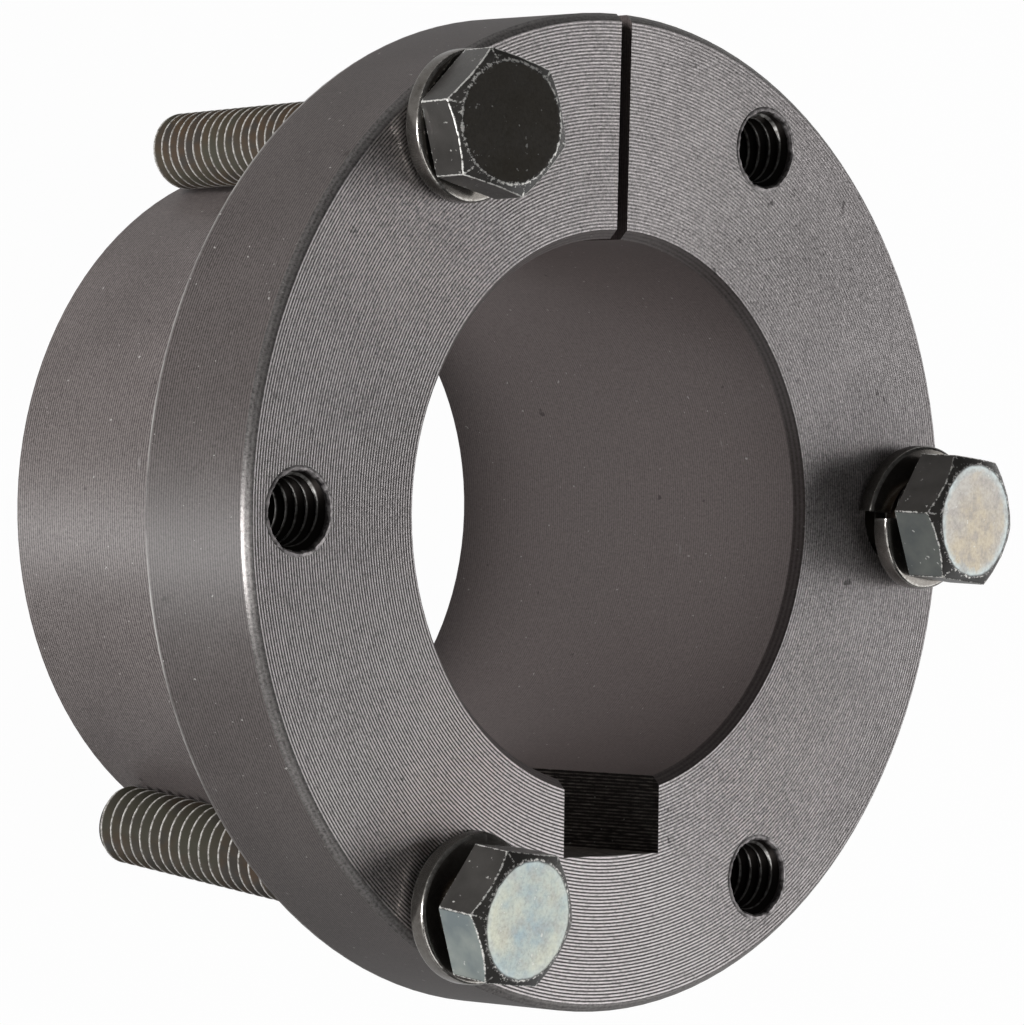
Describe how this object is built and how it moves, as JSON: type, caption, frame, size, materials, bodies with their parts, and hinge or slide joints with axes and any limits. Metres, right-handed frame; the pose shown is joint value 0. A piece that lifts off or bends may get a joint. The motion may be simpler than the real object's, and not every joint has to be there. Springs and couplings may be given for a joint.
{
  "type": "quick disconnect bushing",
  "caption": "Split tapered steel bushing with a bolt flange, keyed bore, tapped jacking holes and loose hex cap screws on spring lock washers; clamps a hub to a shaft.",
  "frame": {"origin": "centre of the bore in the plane of the barrel's small end", "axes": "+Z along the bore towards the flange; -Y through the middle of the keyway, the saw cut near +Y; +X through one cap screw"},
  "size_m": [0.0998, 0.0984, 0.0589],
  "materials": {
    "bushing_steel": "turned, dark, satin",
    "screw_steel": "black zinc, worn bright at the edges",
    "washer_steel": "bright spring steel"
  },
  "bodies": {
    "root": {"bushing": "bushing_steel", "cap_screw_1": "screw_steel", "cap_screw_2": "screw_steel", "cap_screw_3": "screw_steel", "lock_washer_1": "washer_steel", "lock_washer_2": "washer_steel", "lock_washer_3": "washer_steel"}
  },
  "joints": []
}
